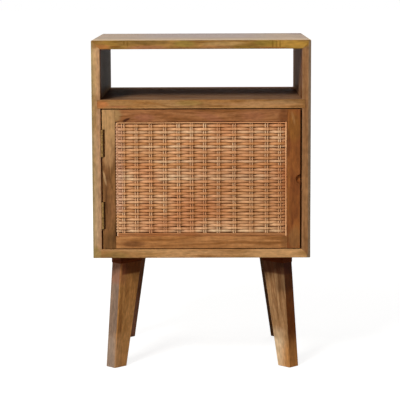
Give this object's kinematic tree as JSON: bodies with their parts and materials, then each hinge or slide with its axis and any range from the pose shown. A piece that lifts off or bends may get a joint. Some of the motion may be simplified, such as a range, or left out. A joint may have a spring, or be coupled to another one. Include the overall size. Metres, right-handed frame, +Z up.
{
  "type": "storage side table with door",
  "caption": "Wooden side table with an open niche over a cupboard, a hinged door with a woven cane panel, and splayed tapered legs.",
  "frame": {"origin": "on the floor, in the middle of the overall width and depth", "axes": "+Z up, +X to the right of somebody facing the door, +Y from the door to the back"},
  "size_m": [0.4, 0.3532, 0.612],
  "materials": {
    "box_wood": "satin oiled hardwood",
    "leg_wood": "satin oiled hardwood, darker",
    "joint_wood": "bare beech",
    "panel_wood": "satin stained plywood",
    "door_wood": "satin oiled hardwood",
    "backing_wood": "dark stained plywood",
    "cane": "natural rattan, satin",
    "hinge_brass": "aged satin",
    "fixing_steel": "zinc plated",
    "plate_steel": "satin",
    "catch_plastic": "matte",
    "magnet": "matte ferrite"
  },
  "bodies": {
    "carcass": {"top_board": "box_wood", "side_left": "box_wood", "side_right": "box_wood", "bottom_board": "box_wood", "middle_shelf": "box_wood", "back_panel": "panel_wood", "back_panel_screws": "fixing_steel", "mitre_splines": "joint_wood", "leg_front_left": "leg_wood", "leg_front_right": "leg_wood", "leg_rear_left": "leg_wood", "leg_rear_right": "leg_wood", "leg_block_front_left": "leg_wood", "leg_block_front_right": "leg_wood", "leg_block_rear_left": "leg_wood", "leg_block_rear_right": "leg_wood", "leg_bolts": "fixing_steel", "leg_inserts": "fixing_steel", "leg_dowels": "joint_wood", "hinge_lower_side_leaf": "hinge_brass", "hinge_upper_side_leaf": "hinge_brass", "hinge_lower_pin": "hinge_brass", "hinge_upper_pin": "hinge_brass", "hinge_side_screws": "hinge_brass", "catch_case": "catch_plastic", "catch_magnet": "magnet", "catch_pole_plates": "plate_steel", "catch_screws": "fixing_steel"},
    "door": {"door_stile_hinge": "door_wood", "door_stile_free": "door_wood", "door_rail_top": "door_wood", "door_rail_bottom": "door_wood", "door_backing": "backing_wood", "bead_left": "door_wood", "bead_right": "door_wood", "bead_bottom": "door_wood", "bead_top": "door_wood", "weave_stakes": "cane", "weavers_even": "cane", "weavers_odd": "cane", "weave_rim_sides": "cane", "weave_rim_ends": "cane", "hinge_lower_door_leaf": "hinge_brass", "hinge_upper_door_leaf": "hinge_brass", "hinge_door_screws": "hinge_brass", "strike_plate": "plate_steel", "strike_screws": "fixing_steel"}
  },
  "joints": [
    {"name": "door_hinge", "type": "hinge", "parent": "carcass", "child": "door", "pos_m": [-0.18165, -0.17422, 0.35785], "axis": [0, 0, -1], "range_deg": [0, 175]}
  ]
}
